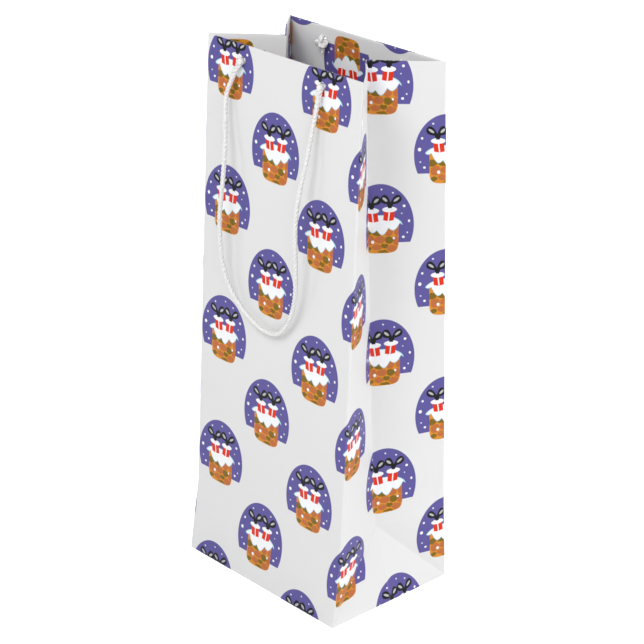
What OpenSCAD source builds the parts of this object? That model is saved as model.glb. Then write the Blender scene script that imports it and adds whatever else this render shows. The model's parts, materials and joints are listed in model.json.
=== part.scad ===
// Wine gift bag: a tall paper bag with pleated sides, a turned-in hem,
// a folded base with a loose board in it, and a knotted cord handle on each side.
// Front is -Y, up is +Z. The origin is the centre of the base, on the surface it stands on.

/* [Bag] */
// Width of the front and rear panels
bag_w = 134; // [120:1:150]
// Depth of the base, front to rear
bag_d = 98; // [90:1:110]
// Height of the rim
bag_h = 340; // [335:1:350]
// How far each panel leans in at the rim
top_in = 16; // [14:0.5:18]
// How far the front panel leans in at its low crease
front_kink_in = 5.5; // [2:0.5:6]

/* [Pleats] */
// How far the side creases are pushed in at the top of the feet
foot_inset = 14; // [12:0.5:16]
// How far the side creases are pushed in at the rim
top_inset = 32.5; // [30:0.5:36]
// How fast the pleat deepens above the feet; 1 is a straight crease
pleat_power = 0.75; // [0.6:0.05:1]

/* [Paper and card] */
// Thickness of the laminated paper
paper_t = 0.4; // [0.3:0.05:0.5]
// Thickness of the rim cards
card_t = 0.8; // [0.6:0.1:1]
// Thickness of the base board
board_t = 1.5; // [1:0.25:2]
// Depth of the hem turned in at the rim
hem_h = 40; // [35:1:50]
// Depth of the rim cards under the hem
card_h = 34; // [25:1:36]
// Width of the glued seam tab
tab_w = 15; // [12:1:20]

/* [Cord handles] */
// Diameter of the cord
cord_d = 3; // [2.5:0.25:3]
// Distance between the two holes of a panel
hole_gap = 68; // [64:1:70]
// Height of the holes above the base
hole_z = 330; // [328:1:332]
// Diameter of the punched holes
hole_d = 5; // [4.5:0.25:5.5]
// Diameter of the knots
knot_d = 8; // [7:0.5:9]

/* [Hidden] */

half_w = bag_w / 2;
half_d = bag_d / 2;
// The side creases start at the tip of each foot, where the panel's low crease is too.
foot_z = sqrt(pow(half_d, 2) - pow(foot_inset, 2));
// Gap between neighbouring sheets that are glued, and between pieces that move apart
glue_gap = 0.05;
move_gap = 0.4;
// A straight panel is this far in at the low crease.
straight_kink = top_in * foot_z / bag_h;
rear_kink_in = straight_kink;
// How far each layer at the rim lies inside the panel's outer face
card_at = paper_t + glue_gap;
hem_at = card_at + card_t + glue_gap;
layers_t = hem_at + paper_t;
// How far the panels' edges stop short of the side folds, and the hem and cards of them
edge_gap = 0.4;
hem_edge = 4;
card_edge = 6;
// The cord turns about a line just outside the panel.
pivot_out = 2;
shank_r = cord_d / 2 - 0.1;
paper_color = "white";
card_color = "gainsboro";
board_color = "silver";
cord_color = "whitesmoke";
// Rows of the half gussets, as heights between the base and the rim
foot_rows = 4;
pleat_rows = 10;
tube_sides = 8;

// Where the free loop of each cord hangs, from one hole round to the other
front_route = [
    [-35, -35.7, 328], [-37.5, -36.5, 323], [-40.5, -37.5, 316], [-42.5, -38.7, 309],
    [-42, -40.2, 300], [-39.5, -42.4, 288], [-37.5, -44.5, 276], [-37, -46, 264],
    [-38, -46.7, 250], [-39.5, -47, 236], [-39.5, -46.8, 222], [-38.5, -46, 208],
    [-34.5, -44.8, 194], [-26, -43.2, 182], [-15, -42.2, 174.5], [-4, -41.8, 171],
    [7, -41.8, 173], [16, -42.2, 182], [22.5, -43.5, 195], [26.5, -45.5, 208],
    [28.5, -47.6, 226], [29, -48.6, 244], [29, -47.7, 258], [29.5, -45.2, 272],
    [31, -42.8, 286], [32, -40.3, 300], [33, -38.1, 313], [34, -35.9, 328]
];
rear_route = [
    [35, 35.9, 328], [37.5, 36.7, 323], [40.5, 37.8, 316], [42, 39, 309],
    [41.5, 40.6, 300], [39.5, 42.7, 288], [38, 44.8, 276], [37.5, 46.3, 264],
    [38, 47.2, 250], [38.5, 47.8, 236], [38, 48, 222], [36, 47.6, 208],
    [32, 46.5, 194], [24.5, 45, 182], [14, 44, 174.5], [2, 43.6, 171],
    [-9, 43.7, 173], [-18, 44, 182], [-25, 44.9, 195], [-29.5, 46.2, 208],
    [-32.5, 47.6, 226], [-34, 48, 244], [-35, 47.2, 258], [-36, 45.2, 272],
    [-36.5, 43, 286], [-36, 40.6, 300], [-35, 38.2, 313], [-34.3, 36, 328]
];

// How far a panel's outer face lies inside the base's edge at height z
function lean(z, kink_in) = z < foot_z
    ? kink_in * z / foot_z
    : kink_in + (top_in - kink_in) * (z - foot_z) / (bag_h - foot_z);

// How far a side crease is pushed in at height z
function inset(z) = foot_inset
    + (top_inset - foot_inset) * pow((z - foot_z) / (bag_h - foot_z), pleat_power);

// One layer of a panel, drawn for the front: from depth a to b inside the outer face,
// from height z0 to z1, and to half_x on each side
module panel_layer(a, b, z0, z1, half_x, kink_in) {
    heights = z0 < foot_z ? [z0, foot_z, z1] : [z0, z1];
    outer = [for (z = heights) [lean(z, kink_in) + a - half_d, z]];
    inner = [for (i = [len(heights) - 1 : -1 : 0])
        [lean(heights[i], kink_in) + b - half_d, heights[i]]];
    rotate([90, 0, 90])
        translate([0, 0, -half_x])
            linear_extrude(2 * half_x)
                polygon(concat(outer, inner));
}

// The two punched holes of the front, from outside the panel to inside the hem
module cord_holes() {
    for (side = [-1, 1])
        translate([side * hole_gap / 2, -half_d, hole_z])
            rotate([-90, 0, 0])
                cylinder(h = half_d, d = hole_d, $fn = 48);
}

module punched_layer(a, b, z0, z1, half_x, kink_in) {
    difference() {
        panel_layer(a, b, z0, z1, half_x, kink_in);
        cord_holes();
    }
}

// Turns what is drawn at the front round to the rear
module at_rear() {
    rotate([0, 0, 180])
        children();
}

module front_panel() {
    color(paper_color)
        punched_layer(0, paper_t, move_gap, bag_h, half_w - edge_gap, front_kink_in);
}

module front_rim_card() {
    color(card_color)
        punched_layer(card_at, card_at + card_t, bag_h - card_h - 1, bag_h - 1,
            half_w - card_edge, front_kink_in);
}

module front_hem() {
    color(paper_color)
        punched_layer(hem_at, layers_t, bag_h - hem_h, bag_h, half_w - hem_edge, front_kink_in);
}

module rear_panel() {
    color(paper_color)
        at_rear()
            punched_layer(0, paper_t, move_gap, bag_h, half_w - edge_gap, rear_kink_in);
}

module rear_rim_card() {
    color(card_color)
        at_rear()
            punched_layer(card_at, card_at + card_t, bag_h - card_h - 1, bag_h - 1,
                half_w - card_edge, rear_kink_in);
}

module rear_hem() {
    color(paper_color)
        at_rear()
            punched_layer(hem_at, layers_t, bag_h - hem_h, bag_h, half_w - hem_edge,
                rear_kink_in);
}

// The strip along the sheet's free edge, glued inside the rear panel at the left fold
module seam_tab() {
    color(paper_color)
        translate([-half_w + hem_edge / 2 + tab_w / 2, 0, 0])
            at_rear()
                panel_layer(card_at, card_at + paper_t, 4, bag_h - hem_h - 1, tab_w / 2,
                    rear_kink_in);
}

// A point of a right front half gusset at height z: s = 0 on the fold, 1 on the crease.
// Below foot_z the half ends on the 45 degree crease that runs to the base's corner.
function gusset_point(z, s, kink_in, deep) =
    let (
        fold = [half_w, lean(z, kink_in) - half_d + paper_t + move_gap],
        share = min(z / foot_z, 1),
        end = z < foot_z
            ? [half_w - foot_inset * share, -half_d * (1 - share)]
            : [half_w - inset(z), -move_gap / 4],
        along = end - fold,
        out = [along[1], -along[0]] / norm(along),
        at = fold + along * s - out * deep
    )
    [at[0], at[1], z];

// A half gusset, as a sheet between two depths, from the first to the last of heights.
// It starts s0 of the way from the fold to the crease.
module gusset_sheet(heights, kink_in, deep, thick, s0 = 0) {
    n = len(heights);
    points = [
        for (d = [deep, deep + thick])
            for (z = heights)
                for (s = [s0, 1])
                    gusset_point(z, s, kink_in, d)
    ];
    back = 2 * n;
    outer = [for (i = [0 : n - 2]) each [
        [2 * i, 2 * i + 2, 2 * i + 1], [2 * i + 1, 2 * i + 2, 2 * i + 3]
    ]];
    inner = [for (f = outer) [f[0] + back, f[2] + back, f[1] + back]];
    fold_edge = [for (i = [0 : n - 2]) each [
        [2 * i, 2 * i + back, 2 * i + 2], [2 * i + 2, 2 * i + back, 2 * i + 2 + back]
    ]];
    crease_edge = [for (i = [0 : n - 2]) each [
        [2 * i + 1, 2 * i + 3, 2 * i + 1 + back],
        [2 * i + 3, 2 * i + 3 + back, 2 * i + 1 + back]
    ]];
    last = 2 * n - 2;
    ends = [
        [0, 1, back], [1, 1 + back, back],
        [last, last + back, last + 1], [last + 1, last + back, last + 1 + back]
    ];
    polyhedron(points, concat(outer, inner, fold_edge, crease_edge, ends));
}

low_heights = [for (i = [1 : foot_rows]) foot_z * i / foot_rows];
high_heights = [for (i = [1 : pleat_rows])
    foot_z + (bag_h - foot_z) * pow(i / pleat_rows, 1.4)];
gusset_heights = concat([foot_z / 12], low_heights, high_heights);
hem_s0 = 0.06;
hem_heights = [for (i = [0 : 3]) bag_h - hem_h * (1 - i / 3)];

// Mirrors what is drawn at the right front to another quarter of the bag
module at_quarter(x_side, y_side) {
    mirror([x_side < 0 ? 1 : 0, 0, 0])
        mirror([0, y_side > 0 ? 1 : 0, 0])
            children();
}

module half_gusset(x_side, y_side) {
    color(paper_color)
        at_quarter(x_side, y_side)
            gusset_sheet(gusset_heights, y_side > 0 ? rear_kink_in : front_kink_in, 0, paper_t);
}

module half_gusset_hem(x_side, y_side) {
    color(paper_color)
        at_quarter(x_side, y_side)
            gusset_sheet(hem_heights, y_side > 0 ? rear_kink_in : front_kink_in,
                paper_t + glue_gap, paper_t, hem_s0);
}

// The triangle between the two 45 degree creases at the foot of a side
module gusset_foot(x_side) {
    trim = 1.2;
    tilt = asin(foot_inset / half_d);
    color(paper_color)
        at_quarter(x_side, -1)
            translate([half_w, 0, 0])
                rotate([0, -tilt, 0])
                    rotate([90, 0, -90])
                        linear_extrude(paper_t)
                            polygon([
                                [-half_d + 2 * trim, move_gap],
                                [half_d - 2 * trim, move_gap],
                                [0, half_d - trim]
                            ]);
}

flap_edge = 0.8;
flap_reach = 20;
flap_corner = 18;

// The outer base flap, folded back from the front panel
module front_base_flap() {
    reach = half_d + flap_reach - flap_edge;
    color(paper_color)
        translate([0, -half_d + flap_edge, 0])
            linear_extrude(paper_t)
                polygon([
                    [-half_w + flap_edge, 0], [half_w - flap_edge, 0],
                    [half_w - flap_edge, half_d], [half_w - flap_corner, reach],
                    [-half_w + flap_corner, reach], [-half_w + flap_edge, half_d]
                ]);
}

// The base flap folded forward from the rear panel, with a step up over the front one
module rear_base_flap() {
    step_y = flap_reach + move_gap;
    level = paper_t + glue_gap;
    color(paper_color) {
        translate([-half_w + flap_edge, step_y, 0])
            cube([bag_w - 2 * flap_edge, half_d - step_y - flap_edge, level + paper_t]);
        translate([-half_w + flap_corner, -flap_reach, level])
            cube([bag_w - 2 * flap_corner, 2 * flap_reach + 1, paper_t]);
    }
}

// The flap folded in under a side, with its corners cut off by the 45 degree creases
module side_base_flap(x_side) {
    level = 2 * (paper_t + glue_gap);
    flap_in = 25;
    color(paper_color)
        mirror([x_side > 0 ? 1 : 0, 0, 0])
            translate([0, 0, level])
                linear_extrude(paper_t)
                    polygon([
                        [-half_w + 1.5, -half_d + 3], [-flap_in, -flap_reach],
                        [-flap_in, flap_reach], [-half_w + 1.5, half_d - 3]
                    ]);
}

module base_board() {
    level = 3 * (paper_t + glue_gap);
    room = 2.5;
    color(board_color)
        translate([-half_w + room, -half_d + room, level])
            linear_extrude(board_t)
                square([bag_w - 2 * room, bag_d - 2 * room]);
}

function unit(v) = v / norm(v);

// The direction of a route at point i, and a ring of points round it
function heading(route, i) =
    unit(route[min(i + 1, len(route) - 1)] - route[max(i - 1, 0)]);
function ring(at, along) =
    let (
        side = unit(cross(along, [0, 1, 0.2])),
        over = cross(along, side)
    )
    [for (k = [0 : tube_sides - 1])
        let (a = 360 * k / tube_sides)
        at + (side * cos(a) + over * sin(a)) * cord_d / 2];

// A round tube along a route
module cord_tube(route) {
    n = len(route);
    m = tube_sides;
    points = [for (i = [0 : n - 1]) each ring(route[i], heading(route, i))];
    walls = [for (i = [0 : n - 2], k = [0 : m - 1]) each [
        [i * m + k, i * m + (k + 1) % m, (i + 1) * m + k],
        [i * m + (k + 1) % m, (i + 1) * m + (k + 1) % m, (i + 1) * m + k]
    ]];
    start = [for (k = [m - 1 : -1 : 0]) k];
    finish = [for (k = [0 : m - 1]) (n - 1) * m + k];
    polyhedron(points, concat(walls, [start, finish]));
}

module front_cord() {
    color(cord_color)
        cord_tube(front_route);
}

module rear_cord() {
    color(cord_color)
        cord_tube(rear_route);
}

// The knotted end of a cord, drawn at the front: the knot inside the hem, the shank
// through the hole, and the round end that the free loop turns about
module cord_knot(x_side, kink_in) {
    face = lean(hole_z, kink_in) - half_d;
    inside = layers_t + glue_gap;
    tail = 7;
    color(cord_color)
        translate([x_side * hole_gap / 2, face, hole_z]) {
            translate([0, -pivot_out, 0]) {
                sphere(d = cord_d, $fn = 32);
                rotate([-90, 0, 0])
                    cylinder(h = pivot_out + inside + knot_d / 2, r = shank_r, $fn = 32);
            }
            translate([0, inside + knot_d / 2 + 0.1, 0]) {
                sphere(d = knot_d, $fn = 32);
                translate([0, 0, -knot_d / 2 - tail + 2])
                    cylinder(h = tail, r = shank_r, $fn = 32);
            }
        }
}

front_panel();
front_hem();
front_rim_card();
rear_panel();
rear_hem();
rear_rim_card();
seam_tab();
half_gusset(1, -1);  // right_gusset_front
half_gusset(1, 1);  // right_gusset_rear
half_gusset(-1, -1);  // left_gusset_front
half_gusset(-1, 1);  // left_gusset_rear
half_gusset_hem(1, -1);  // right_gusset_front_hem
half_gusset_hem(1, 1);  // right_gusset_rear_hem
half_gusset_hem(-1, -1);  // left_gusset_front_hem
half_gusset_hem(-1, 1);  // left_gusset_rear_hem
gusset_foot(1);  // right_gusset_foot
gusset_foot(-1);  // left_gusset_foot
front_base_flap();
rear_base_flap();
side_base_flap(-1);  // left_base_flap
side_base_flap(1);  // right_base_flap
base_board();
front_cord();
rear_cord();
cord_knot(-1, front_kink_in);  // front_left_knot
cord_knot(1, front_kink_in);  // front_right_knot
at_rear() cord_knot(1, rear_kink_in);  // rear_left_knot
at_rear() cord_knot(-1, rear_kink_in);  // rear_right_knot
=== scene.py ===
"""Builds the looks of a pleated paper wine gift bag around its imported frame.

The bag is made the way a real one is: flat patches of one printed sheet are cut, punched and
folded into place. A sheet position is (u, v): u runs round the bag from the front panel's left
fold, and v runs up from the base fold and on over the rim into the hem. Lengths are in metres,
and the print is laid out in millimetres of the sheet.
"""

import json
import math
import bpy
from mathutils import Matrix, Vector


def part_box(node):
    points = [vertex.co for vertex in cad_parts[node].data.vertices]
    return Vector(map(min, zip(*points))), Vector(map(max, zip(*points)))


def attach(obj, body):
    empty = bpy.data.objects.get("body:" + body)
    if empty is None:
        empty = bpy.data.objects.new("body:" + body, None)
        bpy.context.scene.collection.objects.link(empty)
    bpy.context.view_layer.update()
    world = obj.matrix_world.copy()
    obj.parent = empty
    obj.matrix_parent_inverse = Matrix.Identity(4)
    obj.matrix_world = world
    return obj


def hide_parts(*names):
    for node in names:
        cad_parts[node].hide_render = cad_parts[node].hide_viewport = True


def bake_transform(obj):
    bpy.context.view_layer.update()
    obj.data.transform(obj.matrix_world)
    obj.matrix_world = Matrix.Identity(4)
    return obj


bl_info = {
    "name": "Wine Gift Bag",
    "version": (1, 0, 0),
    "blender": (4, 5, 0),
    "location": "View3D > Sidebar > Gift Bag",
    "description": "Folds, prints and lights a pleated paper bottle bag",
    "category": "Object",
}

import bmesh
import bpy
from bpy.props import FloatProperty, FloatVectorProperty, IntProperty, PointerProperty
from mathutils import Matrix, Vector, noise

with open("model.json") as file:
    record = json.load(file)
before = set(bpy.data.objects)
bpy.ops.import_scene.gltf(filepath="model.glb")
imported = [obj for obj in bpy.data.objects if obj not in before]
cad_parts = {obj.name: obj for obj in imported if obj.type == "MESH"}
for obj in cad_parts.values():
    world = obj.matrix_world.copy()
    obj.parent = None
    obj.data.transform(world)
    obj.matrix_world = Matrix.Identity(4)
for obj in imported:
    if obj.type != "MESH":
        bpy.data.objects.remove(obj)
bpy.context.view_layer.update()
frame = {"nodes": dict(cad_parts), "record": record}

MM = 0.001

# ---------------------------------------------------------------- sizes

PANEL_LOW, PANEL_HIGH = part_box("front_panel")
TAB_LOW, TAB_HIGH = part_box("seam_tab")
KNOT_LOW, KNOT_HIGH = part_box("front_left_knot")

CAD_PAPER = 0.4 * MM
EDGE_GAP = 0.4 * MM
HALF_W = round(PANEL_HIGH.x + EDGE_GAP, 4)
HALF_D = round(-PANEL_LOW.y, 4)
RIM = PANEL_HIGH.z
TOP_IN = HALF_D + PANEL_HIGH.y - CAD_PAPER
HEM_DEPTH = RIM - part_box("front_hem")[0].z

# How far the side creases are pushed in at the top of the feet and at the rim, and how fast
# the pleat deepens between them
FOOT_INSET = 14 * MM
TOP_INSET = 32.5 * MM
PLEAT_POWER = 0.75
FOOT_Z = math.sqrt(HALF_D**2 - FOOT_INSET**2)

# How far each panel leans in at its low crease, and how softly it and the folds are bent
FRONT_KINK_IN = 5.5 * MM
REAR_KINK_IN = TOP_IN * FOOT_Z / RIM
KINK_ROUND = 5 * MM
FOLD_ROUND = 2.4 * MM
FOLD_LINES = 5

# The low ridge that the side crease leaves on a foot: its height, half width and run-in
RIDGE_HEIGHT = 1.1 * MM
RIDGE_HALF = 5 * MM
RIDGE_START = 6 * MM

# Slow waves in the paper, as turns of the noise per metre, across and up
PANEL_WAVES = (22, 16)
GUSSET_WAVES = (30, 14)

# The sheet's folds, as places along u, and the rim, as a place along v
WIDTH = 2 * HALF_W
RIGHT_FOLD = WIDTH
RIGHT_CREASE = RIGHT_FOLD + HALF_D
REAR_RIGHT_FOLD = RIGHT_CREASE + HALF_D
REAR_LEFT_FOLD = REAR_RIGHT_FOLD + WIDTH
LEFT_CREASE = -HALF_D
SHEET_START = -2 * HALF_D
SHEET_RIM = RIM + 0.5 * MM
FOLDS = (SHEET_START, LEFT_CREASE, 0, RIGHT_FOLD, RIGHT_CREASE, REAR_RIGHT_FOLD, REAR_LEFT_FOLD)

# How deep the rim is turned over: round a card on the panels, on itself on the gussets
PANEL_TURN = 0.85 * MM
GUSSET_TURN = 0.42 * MM
TURN_TAPER = 3 * MM

# The base flaps: their gap at the folds, their reach past the middle, the corners cut off
# them, the height of one glued layer, and how far they and the seam tab keep clear
FLAP_EDGE = 0.8 * MM
FLAP_PAST = 20 * MM
FLAP_CORNER = 18 * MM
FLAP_LAYER = 0.45 * MM
SIDE_FLAP_LAYERS = 2.1
FLOOR_GAP = 0.02 * MM
TAB_GAP = 0.12 * MM

# Where the rear flap steps up over the front one, from the rear fold, and how far it takes
STEP_START = 24 * MM
STEP_RUN = 8 * MM
STEP_LINES = [25 * MM + 2.4 * MM * k for k in range(7)]

# The cords turn about the line through their holes, a little outside the panel
HOLE_X = (KNOT_LOW.x + KNOT_HIGH.x) / -2
JOINTS = frame["record"]["behaviour"]["joints"]
SWINGS = {joint["name"]: Vector(joint["pos_m"]) for joint in JOINTS if "swing" in joint["name"]}
HOLE_Z = SWINGS["front_swing"].z
HOLE_R = 2.5 * MM
PIVOT_OUT = 2 * MM

# Where the free loop of each cord hangs, from one hole round to the other, in millimetres
FRONT_ROUTE = (
    (-35, -35.7, 328), (-37.5, -36.5, 323), (-40.5, -37.5, 316), (-42.5, -38.7, 309),
    (-42, -40.2, 300), (-39.5, -42.4, 288), (-37.5, -44.5, 276), (-37, -46, 264),
    (-38, -46.7, 250), (-39.5, -47, 236), (-39.5, -46.8, 222), (-38.5, -46, 208),
    (-34.5, -44.8, 194), (-26, -43.2, 182), (-15, -42.2, 174.5), (-4, -41.8, 171),
    (7, -41.8, 173), (16, -42.2, 182), (22.5, -43.5, 195), (26.5, -45.5, 208),
    (28.5, -47.6, 226), (29, -48.6, 244), (29, -47.7, 258), (29.5, -45.2, 272),
    (31, -42.8, 286), (32, -40.3, 300), (33, -38.1, 313), (34, -35.9, 328),
)
REAR_ROUTE = (
    (35, 35.9, 328), (37.5, 36.7, 323), (40.5, 37.8, 316), (42, 39, 309),
    (41.5, 40.6, 300), (39.5, 42.7, 288), (38, 44.8, 276), (37.5, 46.3, 264),
    (38, 47.2, 250), (38.5, 47.8, 236), (38, 48, 222), (36, 47.6, 208),
    (32, 46.5, 194), (24.5, 45, 182), (14, 44, 174.5), (2, 43.6, 171),
    (-9, 43.7, 173), (-18, 44, 182), (-25, 44.9, 195), (-29.5, 46.2, 208),
    (-32.5, 47.6, 226), (-34, 48, 244), (-35, 47.2, 258), (-36, 45.2, 272),
    (-36.5, 43, 286), (-36, 40.6, 300), (-35, 38.2, 313), (-34.3, 36, 328),
)

# ---------------------------------------------------------------- settings


def srgb(red, green, blue):
    """A colour given as 0 to 255, as the linear values that Blender works in."""
    def linear(value):
        value /= 255
        return value / 12.92 if value <= 0.04045 else ((value + 0.055) / 1.055) ** 2.4

    return linear(red), linear(green), linear(blue)


def colour(name, what, *rgb):
    return FloatVectorProperty(
        name=name, description=what, subtype="COLOR", size=3, min=0, max=1, default=srgb(*rgb)
    )


def length(name, what, metres, low=0.0, high=2.0):
    return FloatProperty(
        name=name, description=what, default=metres, min=low, max=high, precision=5,
        subtype="DISTANCE", unit="LENGTH",
    )


def angle(name, what, degrees):
    return FloatProperty(
        name=name, description=what, default=math.radians(degrees), subtype="ANGLE"
    )


def print_length(name, what, millimetres):
    return FloatProperty(name=name, description=f"{what}, mm", default=millimetres)


def power(name, what, watts):
    return FloatProperty(name=name, description=what, default=watts, min=0, unit="POWER")


class PaperSettings(bpy.types.PropertyGroup):
    """The laminated sheet that the bag is folded from."""

    thickness: length("Thickness", "Thickness of the laminated paper", 0.3 * MM)
    grid: length("Grid", "Size of the cells that a panel is divided into", 3 * MM)
    bow: length("Bow", "How far the middle of a panel sinks inwards", 0.8 * MM)
    waves: length("Waves", "Height of the slow waves in a panel", 0.35 * MM)
    bulge: length("Bulge", "How far a half gusset bulges outwards", 0.9 * MM)
    white: colour("White", "Unprinted face of the sheet", 215, 215, 215)
    reverse: colour("Reverse", "Uncoated back of the sheet", 248, 248, 247)
    card: colour("Card", "Rim cards under the hems", 222, 220, 214)
    card_speck: colour("Card specks", "Specks in the rim cards", 150, 140, 120)
    board: colour("Board", "Loose board on the base", 214, 212, 206)
    board_speck: colour("Board specks", "Specks in the base board", 120, 112, 100)
    roughness: FloatProperty(
        name="Roughness", description="Roughness of the laminate", default=0.42, min=0, max=1
    )


class PrintSettings(bpy.types.PropertyGroup):
    """The all-over print: snowy domes, each with a chimney and two parcels."""

    column: print_length("Column", "Distance between columns of the print", 41)
    repeat: print_length("Repeat", "Distance between domes in one column", 84)
    first_u: print_length("First column", "Place of the first column", 22.2)
    first_v: print_length("First dome", "Height of a dome in the first column", 239.4)
    side_on: print_length("Side on", "How far the print runs on round the side", 4.4)
    side_up: print_length("Side up", "How far the print climbs round the side", 2.8)
    hem_up: print_length("Hem up", "How far the print is taken up in the hem", 3.4)
    night: colour("Night", "The dome's violet", 88, 81, 147)
    snow: colour("Snow", "Snow on the chimney and in the air", 232, 234, 236)
    frost: colour("Frost", "The cold edge of the snow", 172, 214, 224)
    clay: colour("Clay", "Reddish stones", 178, 97, 52)
    moss: colour("Moss", "Olive stones", 119, 93, 10)
    sand: colour("Sand", "Pale brown in the stones", 186, 112, 42)
    mortar: colour("Mortar", "Lines between the stones", 208, 136, 34)
    parcel: colour("Parcel", "Red wrapping", 213, 40, 1)
    ribbon: colour("Ribbon", "Black bow", 8, 8, 9)
    glint: colour("Glint", "Grey light on the bow", 176, 176, 180)


class CordSettings(bpy.types.PropertyGroup):
    """The twisted cord handles."""

    diameter: length("Diameter", "Diameter of the cord", 3 * MM)
    pitch: length("Pitch", "Length of one full turn of a strand", 8.4 * MM)
    ring: length("Ring", "Distance between rings of the mesh", 0.75 * MM)
    sides: IntProperty(name="Sides", description="Points round the cord", default=18, min=9)
    flare: FloatProperty(
        name="Flare", description="How much the cord swells at its holes", default=0.45, min=0
    )
    flare_reach: length("Flare reach", "How far from its holes the cord swells", 16 * MM)
    white: colour("White", "Colour of the yarn", 232, 232, 231)


class StageSettings(bpy.types.PropertyGroup):
    """The camera, the lights and the floor."""

    azimuth: angle("Azimuth", "Turn of the camera from the front", 46.68)
    elevation: angle("Elevation", "Height of the camera above level", 23.28)
    roll: angle("Roll", "Roll of the camera", 0.97)
    distance: length("Distance", "From the camera to the bag's middle", 1.279, high=10)
    lens: FloatProperty(
        name="Lens", description="Focal length in millimetres", subtype="DISTANCE_CAMERA",
        default=117.2,
    )
    aside: length("Aside", "How far the camera stands to the right", 0.8 * MM, low=-1)
    lift: length("Lift", "How far the camera stands up", -3.2 * MM, low=-1)
    sky: FloatProperty(
        name="Sky", description="Strength of the soft sky, seen white by the camera", default=0.45
    )
    key: power("Key light", "Power of the light at the front left", 3.6)
    side: power("Side light", "Power of the light at the right", 6.6)
    rear: power("Rear light", "Power of the light behind", 16.0)
    fill: power("Fill light", "Power of the light behind, left", 9.0)
    lid: power("Light above", "Power of the light over the mouth", 11.5)
    floor: colour("Floor", "Colour of the floor", 250, 250, 250)
    glow: FloatProperty(
        name="Glow", description="Lift of the floor's tone, seen by the camera only", default=0.56
    )


# ---------------------------------------------------------------- shaders


class Value:
    """A shader socket that arithmetic can be done on."""

    def __init__(self, shader, socket):
        self.shader = shader
        self.socket = socket

    def out(self, key):
        """Another output of the same node."""
        return Value(self.shader, self.socket.node.outputs[key])

    def math(self, operation, *others):
        return self.shader.math(operation, self, *others)

    def __add__(self, other):
        return self.math("ADD", other)

    def __sub__(self, other):
        return self.math("SUBTRACT", other)

    def __rsub__(self, other):
        return self.shader.math("SUBTRACT", other, self)

    def __mul__(self, other):
        return self.math("MULTIPLY", other)

    def __truediv__(self, other):
        return self.math("DIVIDE", other)

    def __neg__(self):
        return self.math("MULTIPLY", -1)

    __radd__ = __add__
    __rmul__ = __mul__


class Shader:
    """A material that is written as expressions."""

    def __init__(self, name):
        self.material = bpy.data.materials.new(name)
        self.material.use_nodes = True
        self.tree = self.material.node_tree
        self.surface = self.tree.nodes["Principled BSDF"]

    def feed(self, socket, value):
        if isinstance(value, Value):
            self.tree.links.new(value.socket, socket)
        else:
            socket.default_value = value

    def node(self, kind, settings=None, inputs=None, output=0):
        """Adds a node: its settings first, then the values or links of its sockets."""
        node = self.tree.nodes.new(kind)
        for key, value in (settings or {}).items():
            setattr(node, key, value)
        for key, value in (inputs or {}).items():
            self.feed(node.inputs[key], value)
        return Value(self, node.outputs[output])

    def math(self, operation, *values, clamp=False):
        settings = {"operation": operation, "use_clamp": clamp}
        return self.node("ShaderNodeMath", settings, dict(enumerate(values)))

    def mix(self, factor, first, second):
        """A colour between two, each a colour or a link."""
        first, second = (
            value if isinstance(value, Value) else (*value, 1) for value in (first, second)
        )
        return self.node(
            "ShaderNodeMix", {"data_type": "RGBA"}, {0: factor, 6: first, 7: second}, 2
        )

    def step(self, distance, soft):
        """1 where a distance is over 0 and 0 below, with an edge of that softness."""
        return self.math("ADD", distance / soft, 0.5, clamp=True)

    def noise(self, vector, scale, detail=2.0, roughness=0.5):
        inputs = {"Vector": vector, "Scale": scale, "Detail": detail, "Roughness": roughness}
        return self.node("ShaderNodeTexNoise", {}, inputs)

    def bump(self, height, distance, strength=1.0, normal=None):
        inputs = {"Height": height, "Distance": distance, "Strength": strength}
        if normal is not None:
            inputs["Normal"] = normal
        return self.node("ShaderNodeBump", {}, inputs)

    def finish(self, **sockets):
        """Feeds the surface's sockets; a name's underscores stand for spaces."""
        for key, value in sockets.items():
            self.feed(self.surface.inputs[key.replace("_", " ")], value)
        return self.material


# Shapes in the print: (across, up, half width, half height), in millimetres from a dome's middle
SNOWFLAKES = (
    (-8.6, 18.9, 0.6, 0.5), (0.6, 21.4, 0.5, 0.5), (7.6, 19.3, 0.55, 0.45),
    (-15.4, 10.2, 0.7, 0.75), (14.4, 11.2, 0.85, 0.8), (-17.0, 3.4, 1.05, 1.1),
    (17.4, 1.9, 0.65, 0.85), (12.9, 6.6, 0.4, 0.35), (-16.5, -4.2, 0.5, 0.4),
    (-14.0, -7.6, 0.8, 0.7), (13.8, -8.0, 0.85, 0.75), (16.3, -5.3, 0.45, 0.5),
    (0.2, 14.6, 0.5, 0.45), (-10.9, 13.9, 0.35, 0.35), (10.6, 14.9, 0.35, 0.4),
)
CLAY_STONES = (
    (4.6, -4.5, 2.9, 2.7), (-7.1, -9.9, 3.4, 2.8), (-0.6, -9.4, 3.1, 2.3), (9.6, -10.2, 2.0, 2.9),
    (-2.6, -14.1, 3.0, 1.9), (6.9, -14.9, 3.0, 2.1), (9.9, -4.4, 1.5, 2.6),
)
MOSS_STONES = (
    (-8.8, -4.9, 2.8, 2.2), (-2.6, -5.4, 3.3, 1.8), (5.2, -9.7, 2.7, 2.3), (-8.1, -14.8, 2.2, 1.6),
    (2.2, -13.2, 2.1, 1.7), (1.2, -17.0, 3.2, 0.9),
)
GLINTS = ((-5.2, -10.8, 0.95, 1.05), (7.9, -8.6, 0.65, 0.75))
# Softness of the print's edges, the dome's half width and height, and how far below its
# middle it is cut off, in millimetres
PRINT_EDGE = 0.28
DOME_R = (20.4, 24.7)
DOME_CUT = 11.3
# How far the wear beside a fold reaches, in millimetres
WEAR_REACH = 0.7


def length_of(shader, x, y):
    return shader.math("SQRT", x * x + y * y)


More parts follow.
